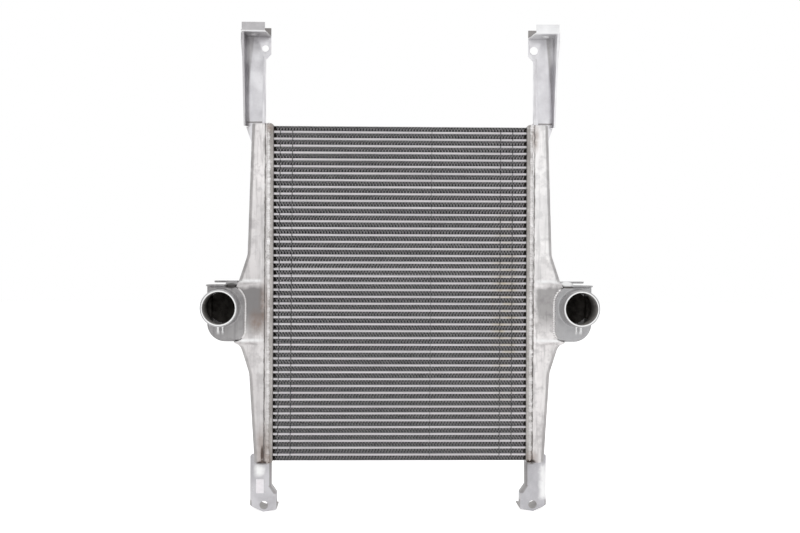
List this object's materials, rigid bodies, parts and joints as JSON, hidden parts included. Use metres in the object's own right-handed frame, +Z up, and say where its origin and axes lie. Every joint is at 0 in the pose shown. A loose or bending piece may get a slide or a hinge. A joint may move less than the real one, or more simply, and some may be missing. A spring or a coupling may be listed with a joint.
{
  "type": "intercooler",
  "caption": "Bare aluminium charge-air cooler of a heavy truck: a flat-tube and fin core between cast side tanks, each with a forward hose elbow, a tall upper bracket and a lower one",
  "frame": {"origin": "midway between the two lower bolt holes, in the plane where the brackets' webs lie on the rear faces of the tanks", "axes": "X runs across from the smaller upper hole to the larger one, Y points rearwards, so the hose stubs open towards -Y, and Z points up"},
  "size_m": [1.014, 0.232, 1.2721],
  "materials": {
    "tube": "mill finish, dulled by brazing",
    "fin": "thin bare strip",
    "sheet": "bare rolled sheet",
    "header": "pressed sheet, matt from brazing",
    "tank_casting": "cast, blasted",
    "elbow_casting": "cast, blasted, stub turned",
    "weld": "bright rippled weld metal",
    "bracket_sheet": "bare rolled plate",
    "tray_sheet": "bare rolled plate"
  },
  "bodies": {
    "root": {"charge_tubes": "tube", "air_fins": "fin", "side_sheet_top": "sheet", "side_sheet_bottom": "sheet", "header_plate_left": "header", "header_plate_right": "header", "tank_left": "tank_casting", "tank_right": "tank_casting", "elbow_left": "elbow_casting", "elbow_right": "elbow_casting", "header_weld_left": "weld", "header_weld_right": "weld", "elbow_weld_left": "weld", "elbow_weld_right": "weld", "upper_bracket_left": "bracket_sheet", "upper_bracket_right": "bracket_sheet", "upper_tray_left": "tray_sheet", "upper_tray_right": "tray_sheet", "lower_bracket_left": "bracket_sheet", "lower_bracket_right": "bracket_sheet", "upper_weld_left": "weld", "upper_weld_right": "weld", "lower_weld_left": "weld", "lower_weld_right": "weld"}
  },
  "joints": []
}
